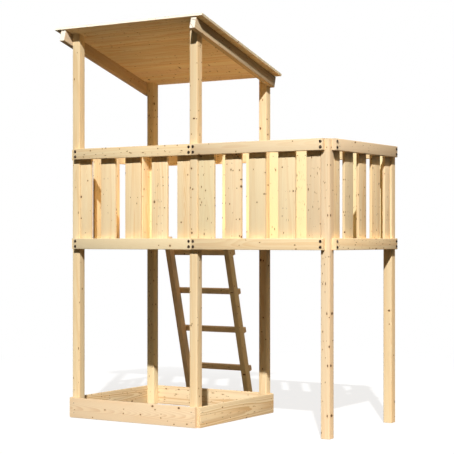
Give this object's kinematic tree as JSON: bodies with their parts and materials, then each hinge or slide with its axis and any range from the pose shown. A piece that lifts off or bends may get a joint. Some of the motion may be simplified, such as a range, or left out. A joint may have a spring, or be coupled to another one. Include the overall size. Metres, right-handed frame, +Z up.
{
  "type": "play tower",
  "caption": "Wooden play tower with a roofed bay over a sandbox, an open side bay, slatted railings round the platform and a leaning ladder at the back.",
  "frame": {"origin": "middle of the whole outline, on the ground", "axes": "+X to the right along the front, +Y towards the ladder at the back, +Z up"},
  "size_m": [2.3816, 1.6168, 3.0114],
  "materials": {
    "post": "planed, untreated softwood with small knots",
    "railing": "planed, untreated softwood with small knots",
    "frame": "planed, untreated softwood with small knots",
    "deck": "planed, untreated softwood with small knots",
    "roof": "planed, untreated softwood with small knots",
    "box": "planed, untreated softwood with small knots",
    "ladder": "planed, untreated softwood with small knots"
  },
  "bodies": {
    "root": {"post_front_left": "post", "post_front_middle": "post", "post_front_right": "post", "post_back_left": "post", "post_back_middle": "post", "post_back_right": "post", "railing_front_left": "railing", "railing_front_right": "railing", "railing_right": "railing", "railing_back_right": "railing", "railing_left": "railing", "entry_top_rail": "railing", "entry_bottom_rail": "railing", "entry_slat_1": "railing", "entry_slat_2": "railing", "bearer_front": "frame", "bearer_back": "frame", "rafter_left": "frame", "rafter_right": "frame", "deck_tower": "deck", "deck_extension": "deck", "roof_boards": "roof", "sandbox_front": "box", "sandbox_back": "box", "sandbox_left": "box", "sandbox_right": "box", "stringer_left": "ladder", "stringer_right": "ladder", "rung_1": "ladder", "rung_2": "ladder", "rung_3": "ladder", "rung_4": "ladder"}
  },
  "joints": []
}
